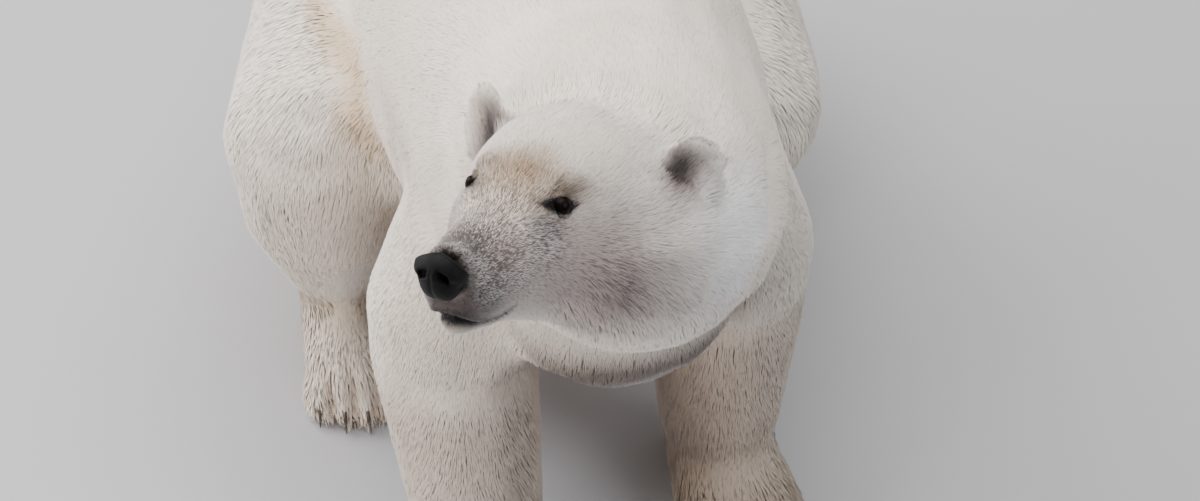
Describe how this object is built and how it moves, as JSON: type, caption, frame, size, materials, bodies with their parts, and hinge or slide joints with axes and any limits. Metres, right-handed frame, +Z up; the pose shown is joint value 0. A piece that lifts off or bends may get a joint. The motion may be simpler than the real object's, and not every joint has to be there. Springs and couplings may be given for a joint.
{
  "type": "polar bear, sitting",
  "caption": "Life-size still polar bear sitting on its haunches, head raised and turned to its right, with ears, eyes, nose pad and claws as separate pieces.",
  "frame": {"origin": "on the floor, at the middle of the footprint of the whole animal's box", "axes": "+Z up, the chest faces -Y, the animal's left side is +X"},
  "size_m": [0.716, 1.6212, 0.9644],
  "materials": {
    "coat": "dense cream-white fur, matt, greyer on the muzzle and tan in the flank crease",
    "eye_glass": "wet dark brown eye, glossy",
    "nose_leather": "pebbled black nose leather, slightly moist",
    "claw_horn": "dark brown horn, semi-gloss"
  },
  "bodies": {
    "root": {"belly": "coat", "chest": "coat", "claw_forepaw_left_1": "claw_horn", "claw_forepaw_left_2": "claw_horn", "claw_forepaw_left_3": "claw_horn", "claw_forepaw_left_4": "claw_horn", "claw_forepaw_left_5": "claw_horn", "claw_forepaw_right_1": "claw_horn", "claw_forepaw_right_2": "claw_horn", "claw_forepaw_right_3": "claw_horn", "claw_forepaw_right_4": "claw_horn", "claw_forepaw_right_5": "claw_horn", "claw_hind_paw_left_1": "claw_horn", "claw_hind_paw_left_2": "claw_horn", "claw_hind_paw_left_3": "claw_horn", "claw_hind_paw_left_4": "claw_horn", "claw_hind_paw_left_5": "claw_horn", "claw_hind_paw_right_1": "claw_horn", "claw_hind_paw_right_2": "claw_horn", "claw_hind_paw_right_3": "claw_horn", "claw_hind_paw_right_4": "claw_horn", "claw_hind_paw_right_5": "claw_horn", "ear_left": "coat", "ear_right": "coat", "eye_left": "eye_glass", "eye_right": "eye_glass", "forearm_left": "coat", "forearm_right": "coat", "forepaw_left": "coat", "forepaw_right": "coat", "head": "coat", "hind_paw_left": "coat", "hind_paw_right": "coat", "lower_jaw": "coat", "neck": "coat", "nose_pad": "nose_leather", "rump": "coat", "shank_left": "coat", "shank_right": "coat", "tail": "coat", "thigh_left": "coat", "thigh_right": "coat", "upper_arm_left": "coat", "upper_arm_right": "coat"}
  },
  "joints": []
}
